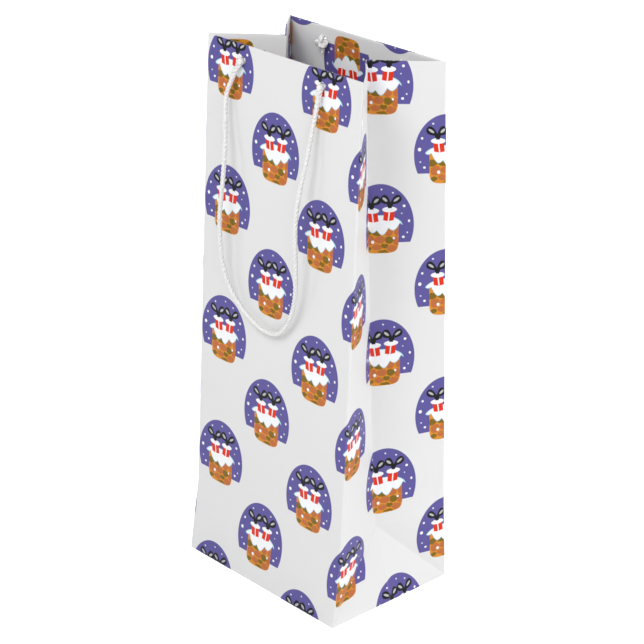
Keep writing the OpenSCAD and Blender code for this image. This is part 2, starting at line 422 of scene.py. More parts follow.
def blobs(shader, place, spots):
    """How far inside the nearest of some round spots each place is."""
    best = None
    for across, up, wide, high in spots:
        away = shader.node(
            "ShaderNodeVectorMath", {"operation": "SUBTRACT"}, {0: place, 1: (across, up, 0)}
        )
        share = shader.node(
            "ShaderNodeVectorMath", {"operation": "DIVIDE"}, {0: away, 1: (wide, high, 1)}
        )
        size = shader.node("ShaderNodeVectorMath", {"operation": "LENGTH"}, {0: share}, "Value")
        inside = (1 - size) * min(wide, high)
        best = inside if best is None else best.math("MAXIMUM", inside)
    return best


def print_cell(pattern, u, v):
    """The place inside one repeat of the print, from the middle of its dome."""
    column = ((u - pattern.first_u) / pattern.column).math("ROUND")
    x = u - pattern.first_u - column * pattern.column
    odd = column.math("FLOORED_MODULO", 2.0)
    y = v - pattern.first_v - odd * (pattern.repeat / 2)
    y = y - (y / pattern.repeat).math("ROUND") * pattern.repeat
    return x, y


def paint_chimney(shader, pattern, ink, x, y, place):
    """A cobbled chimney stub, rounded at its foot, with its cap of snow."""
    across = x / 10.9
    along = (y + 8).math("MINIMUM", 0.0) / 9.8
    inside = (1 - length_of(shader, across * across, along * along)) * 5.2
    inside = inside.math("MINIMUM", 1 - y)
    drift = shader.noise(place, 0.33, 1.0).out("Color")
    drift = shader.node(
        "ShaderNodeVectorMath", {"operation": "MULTIPLY_ADD"},
        {0: drift, 1: (2.2, 2.2, 0), 2: (-1.1, -1.1, 0)},
    )
    bent = shader.node("ShaderNodeVectorMath", {"operation": "ADD"}, {0: place, 1: drift})
    clay = shader.step(blobs(shader, bent, CLAY_STONES), PRINT_EDGE)
    moss = shader.step(blobs(shader, bent, MOSS_STONES), PRINT_EDGE)
    shade = shader.noise(place, 0.8, 3.0)
    wall = shader.mix(shade * 0.3, pattern.mortar, pattern.sand)
    wall = shader.mix(clay, wall, shader.mix(shade * 0.5, pattern.clay, pattern.sand))
    wall = shader.mix(moss, wall, pattern.moss)
    glints = shader.step(blobs(shader, place, GLINTS), PRINT_EDGE)
    wall = shader.mix(glints, wall, pattern.snow)
    ink = shader.mix(shader.step(inside, PRINT_EDGE), ink, wall)

    top = y.math("MAXIMUM", -0.6) + 0.6
    cap = (1 - length_of(shader, (x + 0.4) / 13.7, top / 6.3)) * 8
    drip = (x * 0.44 + 1.1).math("SINE").math("ABSOLUTE") * 2.9
    drip = drip + (x * 0.3 + 2.2).math("SINE") * 0.9
    cap = cap.math("MINIMUM", y + 3.1 + drip + x * 0.06 - x * x * 0.029)
    ink = shader.mix(shader.step(cap, PRINT_EDGE), ink, pattern.frost)
    return shader.mix(shader.step(cap - 0.5, 0.4), ink, pattern.snow)


def paint_parcels(shader, pattern, ink, x, y):
    """Two red parcels in the snow, each with a white lid and a black bow on a stalk."""
    right = shader.step(x, 0.01)
    up = y - right * 0.7
    across = x.math("ABSOLUTE") - 4.7 - (up - 2) * 0.12
    aside = across.math("ABSOLUTE")
    box = (3.3 - aside).math("MINIMUM", 8.0 - up).math("MINIMUM", up - 1.2 - aside * 0.2)
    ink = shader.mix(shader.step(box, PRINT_EDGE), ink, pattern.parcel)
    tie = box.math("MINIMUM", 0.4 - aside)
    ink = shader.mix(shader.step(tie, PRINT_EDGE), ink, pattern.snow)
    lid = (1 - length_of(shader, across / 4.5, (up - 8.4) / 1.7)) * 2.4
    ink = shader.mix(shader.step(lid, PRINT_EDGE), ink, pattern.snow)

    turn = math.radians(37)
    away, above = aside - 2.9, up - 13.9
    along = away * math.cos(turn) + above * math.sin(turn)
    off = above * math.cos(turn) - away * math.sin(turn)
    plump = off / ((along + 6.5) * 0.34)
    loop = (1 - length_of(shader, along / 3.9, plump)) * 2.2
    knot = 1.75 - length_of(shader, across, up - 11.2)
    stalk = (1.2 - aside).math("MINIMUM", up - 9.2).math("MINIMUM", 11.4 - up)
    bow = loop.math("MAXIMUM", knot).math("MAXIMUM", stalk)
    ink = shader.mix(shader.step(bow, PRINT_EDGE), ink, pattern.ribbon)
    glint = (1 - length_of(shader, (along - 0.9) / 1.9, (off - 0.1) / 0.75)) * 0.9
    return shader.mix(shader.step(glint, PRINT_EDGE), ink, pattern.glint)


def sheet_place(shader):
    """u and v of the sheet, in millimetres."""
    place = shader.node("ShaderNodeUVMap", {"uv_map": "Sheet"})
    u = shader.node("ShaderNodeSeparateXYZ", {}, {0: place})
    return u / MM, u.out(1) / MM


def paper_relief(shader, fold_wear):
    """Fine laminate grain over slow cockling, raised a little along the folds."""
    here = shader.node("ShaderNodeTexCoord", {}, {}, "Object")
    grain = shader.noise(here, 1400.0, 2.0, 0.6)
    cockle = shader.noise(here, 34.0, 2.0, 0.45)
    fine = shader.bump(grain, 0.02 * MM, 0.5)
    slow = shader.bump(cockle, 0.5 * MM, 0.35, fine)
    return shader.bump(fold_wear, 0.06 * MM, 0.6, slow), grain, cockle


def fold_wear(shader, u, v):
    """1 along the folds and creases of the sheet, fading to 0 beside them."""
    nearest = (v - SHEET_RIM / MM).math("ABSOLUTE").math("MINIMUM", v.math("ABSOLUTE"))
    for place in FOLDS:
        nearest = nearest.math("MINIMUM", (u - place / MM).math("ABSOLUTE"))
    return shader.math("SUBTRACT", 1.0, nearest / WEAR_REACH, clamp=True)


def printed_paper(paper, pattern):
    """The outside of the sheet: white laminated paper under the festive print."""
    shader = Shader("festive_print")
    u, v = sheet_place(shader)
    wear = fold_wear(shader, u, v)
    normal, grain, cockle = paper_relief(shader, wear)
    round_side = shader.math("MULTIPLY", u - RIGHT_FOLD / MM, MM / HALF_D, clamp=True)
    hem = shader.step(v - SHEET_RIM / MM - 0.5, 0.5)
    print_v = v - round_side * (1 - hem) * pattern.side_up + hem * pattern.hem_up
    x, y = print_cell(pattern, u - round_side * pattern.side_on, print_v)
    place = shader.node("ShaderNodeCombineXYZ", {}, {0: x, 1: y})

    white = shader.mix(cockle * 0.12, paper.white, [c * 0.94 for c in paper.white])
    ring = length_of(shader, x / DOME_R[0], y / DOME_R[1])
    dome = ((1 - ring) * DOME_R[0]).math("MINIMUM", y + DOME_CUT)
    mottle = shader.noise(place, 0.35, 3.0)
    night = shader.mix(mottle * 0.35, pattern.night, [c * 0.86 for c in pattern.night])
    flakes = shader.step(blobs(shader, place, SNOWFLAKES), PRINT_EDGE)
    night = shader.mix(flakes, night, pattern.snow)
    ink = shader.mix(shader.step(dome, PRINT_EDGE), white, night)
    ink = paint_chimney(shader, pattern, ink, x, y, place)
    ink = paint_parcels(shader, pattern, ink, x, y)
    ink = shader.mix(wear * grain * 0.16, ink, paper.white)
    rough = (grain - 0.5) * 0.1 + paper.roughness + wear * 0.1
    return shader.finish(
        Base_Color=ink, Roughness=rough, Normal=normal, Specular_IOR_Level=0.25
    )


def paper_reverse(paper):
    """The uncoated back of the sheet, with faint fibres."""
    shader = Shader("sheet_reverse")
    here = shader.node("ShaderNodeTexCoord", {}, {}, "Object")
    fibre = shader.noise(here, 900.0, 4.0, 0.65)
    cloud = shader.noise(here, 60.0, 3.0)
    shade = [c * 0.88 for c in paper.reverse]
    tint = shader.mix(cloud * 0.3 + fibre * 0.2, paper.reverse, shade)
    normal = shader.bump(fibre, 0.04 * MM, 0.6)
    return shader.finish(Base_Color=tint, Roughness=0.78 + fibre * 0.1, Normal=normal)


def plain_board(name, tone, speck):
    """Pressed board: fibres, specks and a dusty, matt surface."""
    shader = Shader(name)
    here = shader.node("ShaderNodeTexCoord", {}, {}, "Object")
    fibre = shader.noise(here, 500.0, 5.0, 0.7)
    flecks = shader.noise(here, 1500.0, 1.0)
    tint = shader.mix(fibre * 0.6, tone, [c * 0.82 for c in tone])
    tint = shader.mix(shader.step(flecks - 0.68, 0.05) * 0.5, tint, speck)
    normal = shader.bump(fibre, 0.08 * MM, 0.7)
    return shader.finish(Base_Color=tint, Roughness=0.82 + fibre * 0.1, Normal=normal)


STRANDS = 3


def twisted_yarn(cord):
    """Soft white yarn: fine fibres lie across the twist, and the grooves between the strands get a
    little painted shade.
    """
    shader = Shader("twisted_yarn")
    place = shader.node("ShaderNodeUVMap", {"uv_map": "Cord"})
    around = shader.node("ShaderNodeSeparateXYZ", {}, {0: place})
    along = around.out(1)
    fibres = ((along / (0.55 * MM) - around * 6.0) * math.tau).math("SINE")
    here = shader.node("ShaderNodeTexCoord", {}, {}, "Object")
    fluff = shader.noise(here, 2600.0, 3.0, 0.7)
    # Painted shade: the yarn's colour is darkened a little in the grooves between the strands, by
    # the angle round the cord.
    groove_shade_wave = ((around * float(STRANDS)) * math.tau).math("COSINE")
    depth = shader.math("MULTIPLY_ADD", groove_shade_wave, -0.5, 0.5)
    tint = shader.mix(depth * 0.3 + fluff * 0.15, cord.white, [c * 0.86 for c in cord.white])
    normal = shader.bump(fibres * 0.5 + fluff * 1.5, 0.07 * MM, 0.8)
    return shader.finish(
        Base_Color=tint, Roughness=0.72 + fluff * 0.15, Normal=normal, Sheen_Weight=0.25
    )


def floor_finish(stage):
    shader = Shader("studio_floor")
    here = shader.node("ShaderNodeTexCoord", {}, {}, "Object")
    cloud = shader.noise(here, 3.0, 2.0)
    tint = shader.mix(cloud * 0.1, stage.floor, [c * 0.98 for c in stage.floor])
    seen = shader.node("ShaderNodeLightPath", {}, {}, "Is Camera Ray")
    glow = shader.mix(seen, (0, 0, 0), (stage.glow,) * 3)
    return shader.finish(
        Base_Color=tint, Roughness=0.9, Emission_Color=glow, Emission_Strength=1
    )


# ---------------------------------------------------------------- folding


def clamp(value, low=0.0, high=1.0):
    return min(max(value, low), high)


def ease(value):
    value = clamp(value)
    return value * value * (3 - 2 * value)


def lean(z, kink_in):
    """How far a panel lies inside the base's edge at height z, with its low crease rounded."""
    low = kink_in / FOOT_Z
    high = (TOP_IN - kink_in) / (RIM - FOOT_Z)
    past = z - FOOT_Z
    if abs(past) < KINK_ROUND:
        past = (past + KINK_ROUND) ** 2 / (4 * KINK_ROUND)
    return low * z + (high - low) * max(past, 0)


def inset(z):
    """How far a side crease is pushed in at height z."""
    share = clamp((z - FOOT_Z) / (RIM - FOOT_Z))
    return FOOT_INSET + (TOP_INSET - FOOT_INSET) * share**PLEAT_POWER


def turned(v, radius):
    """Folds v over the rim: the height it comes to, and the depth inside the bag."""
    start = SHEET_RIM - radius * math.pi / 2
    if v <= start:
        return v, 0.0
    angle = (v - start) / radius
    if angle < math.pi:
        return start + radius * math.sin(angle), radius * (1 - math.cos(angle))
    return start - radius * (angle - math.pi), 2 * radius


def height_of(v):
    return v * RIM / SHEET_RIM


def panel_place(paper, across, v, kink_in, seed):
    """A place on a panel drawn at the front: across from its left fold."""
    v, depth = turned(v, PANEL_TURN)
    z = height_of(v)
    edge = min(across, WIDTH - across)
    depth *= clamp(edge / TURN_TAPER)
    middle = math.sin(math.pi * clamp(across / WIDTH)) * math.sin(math.pi * clamp(z / RIM))
    ripple = Vector((across * PANEL_WAVES[0], z * PANEL_WAVES[1], seed))
    wave = noise.noise(ripple) * paper.waves
    away = (paper.bow + wave) * middle + depth
    return Vector((across - HALF_W, lean(z, kink_in) - HALF_D + away, z))


def gusset_place(paper, across, v, kink_in, seed):
    """A place on a half gusset drawn at the right front: across from its fold."""
    v, depth = turned(v, GUSSET_TURN)
    z = height_of(v)
    fold = Vector((HALF_W, lean(z, kink_in) - HALF_D, z))
    if v < HALF_D:
        share = v / HALF_D
        end = Vector((HALF_W - FOOT_INSET * share, -HALF_D * (1 - share), FOOT_Z * share))
    else:
        share = 1.0
        crease_z = FOOT_Z + (v - HALF_D) * (RIM - FOOT_Z) / (SHEET_RIM - HALF_D)
        end = Vector((HALF_W - inset(crease_z), 0, crease_z))
    along = end - fold
    s = clamp(across / (HALF_D * share)) if share > 0 else 0.0
    out = Vector((along.y, -along.x, 0)).normalized()
    mitred = out.lerp(Vector((1 / max(out.x, 0.3), 0, 0)), ease((s - 0.92) / 0.08))
    ripple = Vector((across * GUSSET_WAVES[0], z * GUSSET_WAVES[1], seed))
    wave = noise.noise(ripple) * paper.waves
    swell = (paper.bulge + wave) * math.sin(math.pi * s) * share
    depth *= clamp(across / TURN_TAPER)
    return fold + along * s + out * swell - mitred * depth


def foot_place(across, v):
    """A place on the right foot's triangle: across from the front corner, along the base."""
    up = v / HALF_D
    from_ridge = abs(across - HALF_D) / RIDGE_HALF
    ridge = RIDGE_HEIGHT * clamp(1 - from_ridge) * (1 - up) * ease(v / RIDGE_START)
    return Vector((HALF_W - FOOT_INSET * up + ridge, across - HALF_D, FOOT_Z * up))


def creased_fold(paper, u, v):
    """Where a place on the walls or hem comes to when every fold is sharp."""
    if u < SHEET_START:
        u += REAR_LEFT_FOLD - SHEET_START
    elif u > REAR_LEFT_FOLD:
        u -= REAR_LEFT_FOLD - SHEET_START
    if 0 <= u <= RIGHT_FOLD:
        return panel_place(paper, u, v, FRONT_KINK_IN, 1.0)
    if u >= REAR_RIGHT_FOLD:
        x, y, z = panel_place(paper, u - REAR_RIGHT_FOLD, v, REAR_KINK_IN, 2.0)
        return Vector((-x, -y, z))
    if u > 0:
        if u <= RIGHT_CREASE:
            return gusset_place(paper, u - RIGHT_FOLD, v, FRONT_KINK_IN, 3.0)
        x, y, z = gusset_place(paper, REAR_RIGHT_FOLD - u, v, REAR_KINK_IN, 4.0)
        return Vector((x, -y, z))
    if u >= LEFT_CREASE:
        x, y, z = gusset_place(paper, -u, v, FRONT_KINK_IN, 5.0)
        return Vector((-x, y, z))
    x, y, z = gusset_place(paper, u - SHEET_START, v, REAR_KINK_IN, 6.0)
    return Vector((-x, -y, z))


def sheet_fold(paper, u, v):
    """Where a place on the walls or hem comes to, with the standing folds a little rounded."""
    reach = FOLD_ROUND * clamp(v / HALF_D)
    for fold in (SHEET_START, 0, RIGHT_FOLD, REAR_RIGHT_FOLD, REAR_LEFT_FOLD):
        if abs(u - fold) < reach:
            t = ((u - fold) / reach + 1) / 2
            before, at, after = (
                creased_fold(paper, fold + off, v) for off in (-reach, 0, reach)
            )
            return before * (1 - t) ** 2 + at * (2 * t * (1 - t)) + after * t**2
    return creased_fold(paper, u, v)


# ---------------------------------------------------------------- sheet work


def flat_patch(u0, u1, v0, v1, cell):
    """A flat grid of the sheet between two corners, x along u and y along v."""
    bm = bmesh.new()
    counts = [max(1, round(abs(b - a) / cell)) for a, b in ((u0, u1), (v0, v1))]
    bmesh.ops.create_grid(bm, x_segments=counts[0], y_segments=counts[1], size=0.5)
    bmesh.ops.scale(bm, vec=(u1 - u0, v1 - v0, 1), verts=bm.verts)
    bmesh.ops.translate(bm, vec=((u0 + u1) / 2, (v0 + v1) / 2, 0), verts=bm.verts)
    return bm


def score(bm, point, normal, cut=False):
    """Divides a flat patch along a line, and cuts away what lies beyond it if asked."""
    geometry = bm.verts[:] + bm.edges[:] + bm.faces[:]
    bmesh.ops.bisect_plane(
        bm, geom=geometry, plane_co=(*point, 0), plane_no=(*normal, 0), clear_outer=cut,
        dist=1e-6,
    )


def score_rim(bm, radius):
    """Closely spaced lines where the sheet turns over the rim."""
    turns = 6
    for k in range(turns + 1):
        v = SHEET_RIM + radius * math.pi * (k / turns - 0.5)
        score(bm, (0, v), (0, 1))


def score_fold(bm, u, way):
    """Closely spaced lines beside a standing fold, on the patch's side of it."""
    for k in range(1, FOLD_LINES + 1):
        score(bm, (u + way * FOLD_ROUND * k / FOLD_LINES, 0), (1, 0))


def wall_patch(low, high, folds, turn, cell, hem, cut=None):
    """A flat patch of a wall, or of the hem past it, scored where it will bend."""
    start, end = (SHEET_RIM, SHEET_RIM + HEM_DEPTH) if hem else (0, SHEET_RIM)
    bm = flat_patch(low, high, start, end, cell)
    if cut:
        score(bm, *cut, cut=True)
    if not hem:
        for offset in (-KINK_ROUND, 0, KINK_ROUND):
            score(bm, (0, FOOT_Z + offset), (0, 1))
    score_rim(bm, turn)
    for fold_u, way in folds:
        score_fold(bm, fold_u, way)
    return bm


def edges_of(verts):
    """The edges at some vertices, once each and in a steady order."""
    return list(dict.fromkeys(edge for vert in verts for edge in vert.link_edges))


def punch(bm, u, v, radius):
    """Punches a round hole: a square is cleared and filled again up to the hole's edge."""
    reach = 1.7 * radius
    for side in (-1, 1):
        score(bm, (u + side * reach, 0), (1, 0))
        score(bm, (0, v + side * reach), (0, 1))
    centre = Vector((u, v, 0))

    def within(point, room):
        away = point - centre
        return max(abs(away.x), abs(away.y)) < room

    cleared = [face for face in bm.faces if within(face.calc_center_median(), reach)]
    bmesh.ops.delete(bm, geom=cleared, context="FACES")
    room = reach + 1e-5
    square = [
        edge for edge in bm.edges
        if edge.is_boundary and all(within(vert.co, room) for vert in edge.verts)
    ]
    ring = bmesh.ops.create_circle(
        bm, segments=28, radius=radius, matrix=Matrix.Translation(centre)
    )["verts"]
    bmesh.ops.triangle_fill(bm, use_beauty=True, edges=square + edges_of(ring))


def apply_modifiers(piece):
    """Makes what the modifiers show the piece's own mesh."""
    graph = bpy.context.evaluated_depsgraph_get()
    shown = bpy.data.meshes.new_from_object(
        piece.evaluated_get(graph), preserve_all_data_layers=True, depsgraph=graph
    )
    piece.modifiers.clear()
    old = piece.data
    piece.data = shown
    bpy.data.meshes.remove(old)


def add_piece(name, bm, materials):
    """Puts a finished bmesh into the scene as a piece."""
    mesh = bpy.data.meshes.new(name)
    bm.to_mesh(mesh)
    bm.free()
    for material in materials:
        mesh.materials.append(material)
    piece = bpy.data.objects.new(name, mesh)
    bpy.context.collection.objects.link(piece)
    return piece


def smooth_shade(piece, degrees):
    piece.data.polygons.foreach_set("use_smooth", [True] * len(piece.data.polygons))
    piece.data.set_sharp_from_angle(angle=math.radians(degrees))


def fold_piece(name, bm, fold, paper, outside, inside):
    """Folds a flat patch into place and gives it the paper's thickness, inwards."""
    uv = bm.loops.layers.uv.new("Sheet")
    for face in bm.faces:
        if face.normal.z < 0:
            face.normal_flip()
    for face in bm.faces:
        for loop in face.loops:
            loop[uv].uv = loop.vert.co.xy
    for vert in bm.verts:
        vert.co = fold(vert.co.x, vert.co.y)
    piece = add_piece(name, bm, [outside, inside])
    wall = piece.modifiers.new("Thickness", "SOLIDIFY")
    wall.thickness = paper.thickness
    wall.offset = -1
    wall.material_offset = 1
    apply_modifiers(piece)
    smooth_shade(piece, 40)
    return piece


def finished(piece, node, body=None):
    """Hides the frame's part that a piece stands for, and hangs the piece on what it moves with.
    """
    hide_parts(node)
    if body:
        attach(piece, body)
    return piece


def shared(name):
    material = bpy.data.materials.get(name)
    if material is None:
        raise RuntimeError(f"the finishes come first: there is no {name}")
    return material


# ---------------------------------------------------------------- cords


def smooth_line(points, step):
    """A smooth curve through some points, as places about step apart."""
    dense = []
    count = len(points)
    parts = 20
    for i in range(count - 1):
        a, b = points[max(i - 1, 0)], points[i]
        c, d = points[i + 1], points[min(i + 2, count - 1)]
        for k in range(parts):
            t = k / parts
            dense.append(
                0.5 * (2 * b + (c - a) * t + (2 * a - 5 * b + 4 * c - d) * t * t
                       + (3 * b - a - 3 * c + d) * t**3)
            )
    dense.append(points[-1])
    reach = [0.0]
    for a, b in zip(dense, dense[1:]):
        reach.append(reach[-1] + (b - a).length)
    rings = max(2, round(reach[-1] / step))
    line, i = [], 0
    for k in range(rings + 1):
        want = reach[-1] * k / rings
        while i < len(dense) - 2 and reach[i + 1] < want:
            i += 1
        span = reach[i + 1] - reach[i]
        line.append(dense[i].lerp(dense[i + 1], clamp((want - reach[i]) / max(span, 1e-9))))
    return line


def ply_outline(angle):
    """The outline of the strands twisted together, as a share of the cord's radius."""
    turn = math.tau / STRANDS
    off = (angle + turn / 2) % turn - turn / 2
    middle, strand, depth = 0.44, 0.56, 0.75
    outline = middle * math.cos(off) + math.sqrt(strand**2 - (middle * math.sin(off)) ** 2)
    return 1 - depth + depth * outline


def swept_cord(line, cord, swell):
    """A twisted cord along a line of places; swell gives the radius at a share of its length."""
    bm = bmesh.new()
    sides = cord.sides
    turn_layer = bm.verts.layers.float.new("turn")
    reach_layer = bm.verts.layers.float.new("reach")
    first = bmesh.ops.create_circle(bm, segments=sides, radius=1)["verts"]
    for k, vert in enumerate(first):
        vert[turn_layer] = k
    edges = edges_of(first)
    ring = first
    last = len(line) - 1
    normal = (line[1] - line[0]).orthogonal().normalized()
    reach = 0.0
    for i, place in enumerate(line):
        heading = (line[min(i + 1, last)] - line[max(i - 1, 0)]).normalized()
        normal = (normal - heading * normal.dot(heading)).normalized()
        side = heading.cross(normal)
        if i:
            reach += (place - line[i - 1]).length
            grown = bmesh.ops.extrude_edge_only(bm, edges=edges)["geom"]
            ring = [item for item in grown if isinstance(item, bmesh.types.BMVert)]
            fresh = set(ring)
            edges = [
                item for item in grown
                if isinstance(item, bmesh.types.BMEdge) and set(item.verts) <= fresh
            ]
        radius = swell(i / last)
        twist = reach / cord.pitch * math.tau
        for vert in ring:
            angle = vert[turn_layer] / sides * math.tau
            size = radius * ply_outline(angle)
            facing = normal * math.cos(angle + twist) + side * math.sin(angle + twist)
            vert.co = place + facing * size
            vert[reach_layer] = reach
    uv = bm.loops.layers.uv.new("Cord")
    for face in bm.faces:
        turns = [loop.vert[turn_layer] for loop in face.loops]
        wraps = max(turns) - min(turns) > 1.5
        for loop, turn in zip(face.loops, turns):
            around = sides if wraps and turn < 0.5 else turn
            loop[uv].uv = (around / sides, loop.vert[reach_layer])
    bmesh.ops.holes_fill(bm, edges=[edge for edge in bm.edges if edge.is_boundary], sides=0)
    bmesh.ops.recalc_face_normals(bm, faces=bm.faces)
    return bm


def cord_loop(name, node, body, route, swing, cord):
    """The free loop of a handle, from one hole round to the other."""
    points = [Vector(place) * MM for place in route]
    ends = [
        Vector((math.copysign(HOLE_X, point.x), swing.y, swing.z))
        for point in (points[0], points[-1])
    ]
    line = smooth_line([ends[0], *points, ends[1]], cord.ring)
    long = sum((b - a).length for a, b in zip(line, line[1:]))

    def swell(share):
        from_hole = min(share, 1 - share) * long
        near = clamp(1 - from_hole / cord.flare_reach)
        return cord.diameter / 2 * (1 + cord.flare * near**2)

    piece = add_piece(name, swept_cord(line, cord, swell), [shared("twisted_yarn")])
    smooth_shade(piece, 60)
    finished(piece, node, body)
    return piece


# The knot: a third of its half width, its half depth, how open it is left at its ends, the
# length of its tail, and the radius of the round end that fills the hole
KNOT_SIZE = 1.05 * MM
KNOT_DEPTH = 1.4 * MM
KNOT_OPEN = 0.45
KNOT_STEPS = 14
TAIL = 6.5 * MM
BUD_R = 2.25 * MM
BUD_AT = 4.1 * MM


def knotted_end(name, node, body, side, swing, cord):
    """An overhand knot inside the hem, its cut tail, and the cord's bend in the hole."""
    inward = -math.copysign(1, swing.y)
    face = swing.y + inward * PIVOT_OUT
    back = 2 * PANEL_TURN + cord.diameter / 2 + KNOT_DEPTH
    x = side * HOLE_X

    def place(across, depth, up):
        return Vector((x + across, face + inward * depth, swing.z + up))

    curve = []
    for k in range(KNOT_STEPS + 1):
        t = KNOT_OPEN + (math.tau - 2 * KNOT_OPEN) * k / KNOT_STEPS
        curve.append(place(
            KNOT_SIZE * (math.sin(t) + 2 * math.sin(2 * t)),
            back - KNOT_DEPTH * math.sin(3 * t),
            -KNOT_SIZE * (math.cos(t) - 2 * math.cos(2 * t)),
        ))
    tail = [
        place(1.2 * MM, back + 1 * MM, -1 * MM),
        place(0.8 * MM, back, -TAIL * 0.6),
        place(0.4 * MM, back - 0.5 * MM, -TAIL),
    ]
    shank = [place(0, depth, 0) for depth in (back * 0.5, 0, -PIVOT_OUT, -BUD_AT)]
    line = smooth_line([*reversed(tail), *curve, *shank], 0.6 * MM)
    total = sum((b - a).length for a, b in zip(line, line[1:]))
    thin = cord.diameter / 2

    def swell(share):
        left = (1 - share) * total
        if left < 2 * BUD_R:
            return max(0.12 * BUD_R, math.sqrt(max(BUD_R**2 - (left - BUD_R) ** 2, 0)))
        start = share * total
        flare = 1 + 0.18 * clamp(1 - start / (1.5 * MM))
        return thin * flare * clamp(0.35 + start / (0.9 * MM))

    piece = add_piece(name, swept_cord(line, cord, swell), [shared("twisted_yarn")])
    smooth_shade(piece, 60)
    return finished(piece, node, body)


# ---------------------------------------------------------------- operators


class GIFTBAG_OT_finishes(bpy.types.Operator):
    """Makes the finishes: printed paper, its reverse, the boards and the yarn"""

    bl_idname = "giftbag.finishes"
    bl_label = "Finishes"

    def execute(self, context):
        scene = context.scene
        printed_paper(scene.bag_paper, scene.bag_print)
        paper_reverse(scene.bag_paper)
        paper = scene.bag_paper
        plain_board("pressed_card", paper.card, paper.card_speck)
        plain_board("grey_board", paper.board, paper.board_speck)
        twisted_yarn(scene.bag_cord)
        return {"FINISHED"}


class GIFTBAG_OT_panels(bpy.types.Operator):
    """Folds the front and rear panels, punched for the cords, and their hems"""

    bl_idname = "giftbag.panels"
    bl_label = "Panels and hems"

    def execute(self, context):
        paper = context.scene.bag_paper
        outside, inside = shared("festive_print"), shared("sheet_reverse")

        def fold(u, v):
            return sheet_fold(paper, u, v)

        hole_v = HOLE_Z * SHEET_RIM / RIM
        for name, start in (("front", 0), ("rear", REAR_RIGHT_FOLD)):
            folds = ((start, 1), (start + WIDTH, -1))
            for part, hem, v in (("panel", False, hole_v), ("hem", True, 2 * SHEET_RIM - hole_v)):
                bm = wall_patch(start, start + WIDTH, folds, PANEL_TURN, paper.grid, hem)
                for side in (-1, 1):
                    punch(bm, start + HALF_W + side * HOLE_X, v, HOLE_R)
                piece = fold_piece(f"{name}_{part}_sheet", bm, fold, paper, outside, inside)
                finished(piece, f"{name}_{part}", f"{name}_wall")
        return {"FINISHED"}


class GIFTBAG_OT_gussets(bpy.types.Operator):
    """Folds the four half gussets and their hems"""

    bl_idname = "giftbag.gussets"
    bl_label = "Gussets"

    def execute(self, context):
        paper = context.scene.bag_paper
        outside, inside = shared("festive_print"), shared("sheet_reverse")

        def fold(u, v):
            return sheet_fold(paper, u, v)

        halves = (
            ("right_gusset_front", RIGHT_FOLD, 1, "front_wall"),
            ("right_gusset_rear", REAR_RIGHT_FOLD, -1, "rear_wall"),
            ("left_gusset_front", 0, -1, "front_wall"),
            ("left_gusset_rear", SHEET_START, 1, "rear_wall"),
        )
        for name, fold_u, way, body in halves:
            low, high = sorted((fold_u, fold_u + way * HALF_D))
            folds = ((fold_u, way),)
            base_crease = ((fold_u, 0), (way, -1))
            for node, hem, cut in ((name, False, base_crease), (f"{name}_hem", True, None)):
                bm = wall_patch(low, high, folds, GUSSET_TURN, paper.grid, hem, cut)
                piece = fold_piece(f"{node}_sheet", bm, fold, paper, outside, inside)
                self.bend(piece, body)
                finished(piece, node)
        return {"FINISHED"}

    @staticmethod
    def bend(piece, body):
        """Bakes the piece's place into its mesh; the fold's slope and reach from the rim are
        worked out but not used.
        """
        front = body == "front_wall"
        kink_in = FRONT_KINK_IN if front else REAR_KINK_IN
        slope = math.atan((TOP_IN - kink_in) / (RIM - FOOT_Z))
        reach = (HALF_D - TOP_IN) * math.cos(slope)
        way = -1 if front else 1
        start = Vector((0, 0, RIM))
        end = start + Vector((0, way * math.cos(slope), math.sin(slope))) * reach
        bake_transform(piece)


